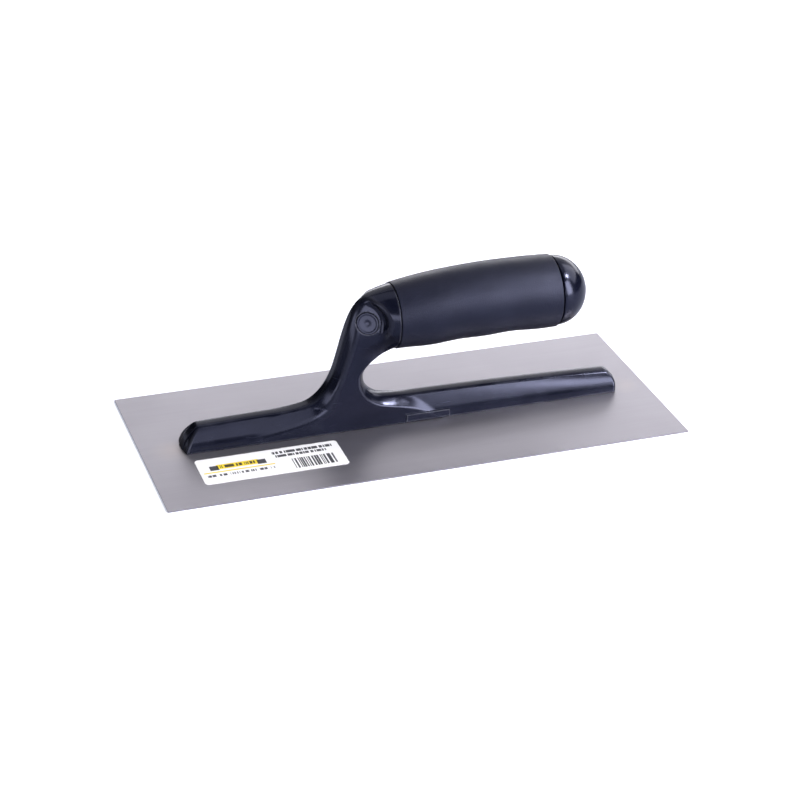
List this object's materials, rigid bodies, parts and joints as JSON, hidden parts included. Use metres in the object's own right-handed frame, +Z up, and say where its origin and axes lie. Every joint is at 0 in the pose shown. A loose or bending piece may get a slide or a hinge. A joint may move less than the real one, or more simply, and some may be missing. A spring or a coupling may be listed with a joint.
{
  "type": "steel finishing trowel",
  "caption": "Rectangular flat-bladed finishing trowel with a moulded rail and neck holding a round grip above the blade, for smoothing plaster and concrete.",
  "frame": {"origin": "centre of the blade's underside", "axes": "+X along the blade from the neck end towards the end cap, +Y across the blade, +Z up out of the blade towards the grip"},
  "size_m": [0.28, 0.12, 0.0825],
  "materials": {
    "blade_steel": "fine grain along the length, polished",
    "fixing_steel": "plain bright steel",
    "gloss_frame": "glossy blue-black moulding",
    "grip": "satin, finely textured",
    "label_paper": null
  },
  "bodies": {
    "root": {"blade": "blade_steel", "blade_rivets": "fixing_steel", "handle_frame": "gloss_frame", "tang_rod": "fixing_steel", "cross_pin": "fixing_steel", "neck_plug_near": "gloss_frame", "neck_plug_far": "gloss_frame", "grip_sleeve": "grip", "tang_washer": "fixing_steel", "tang_nut": "fixing_steel", "end_cap": "gloss_frame", "label": "label_paper"}
  },
  "joints": []
}
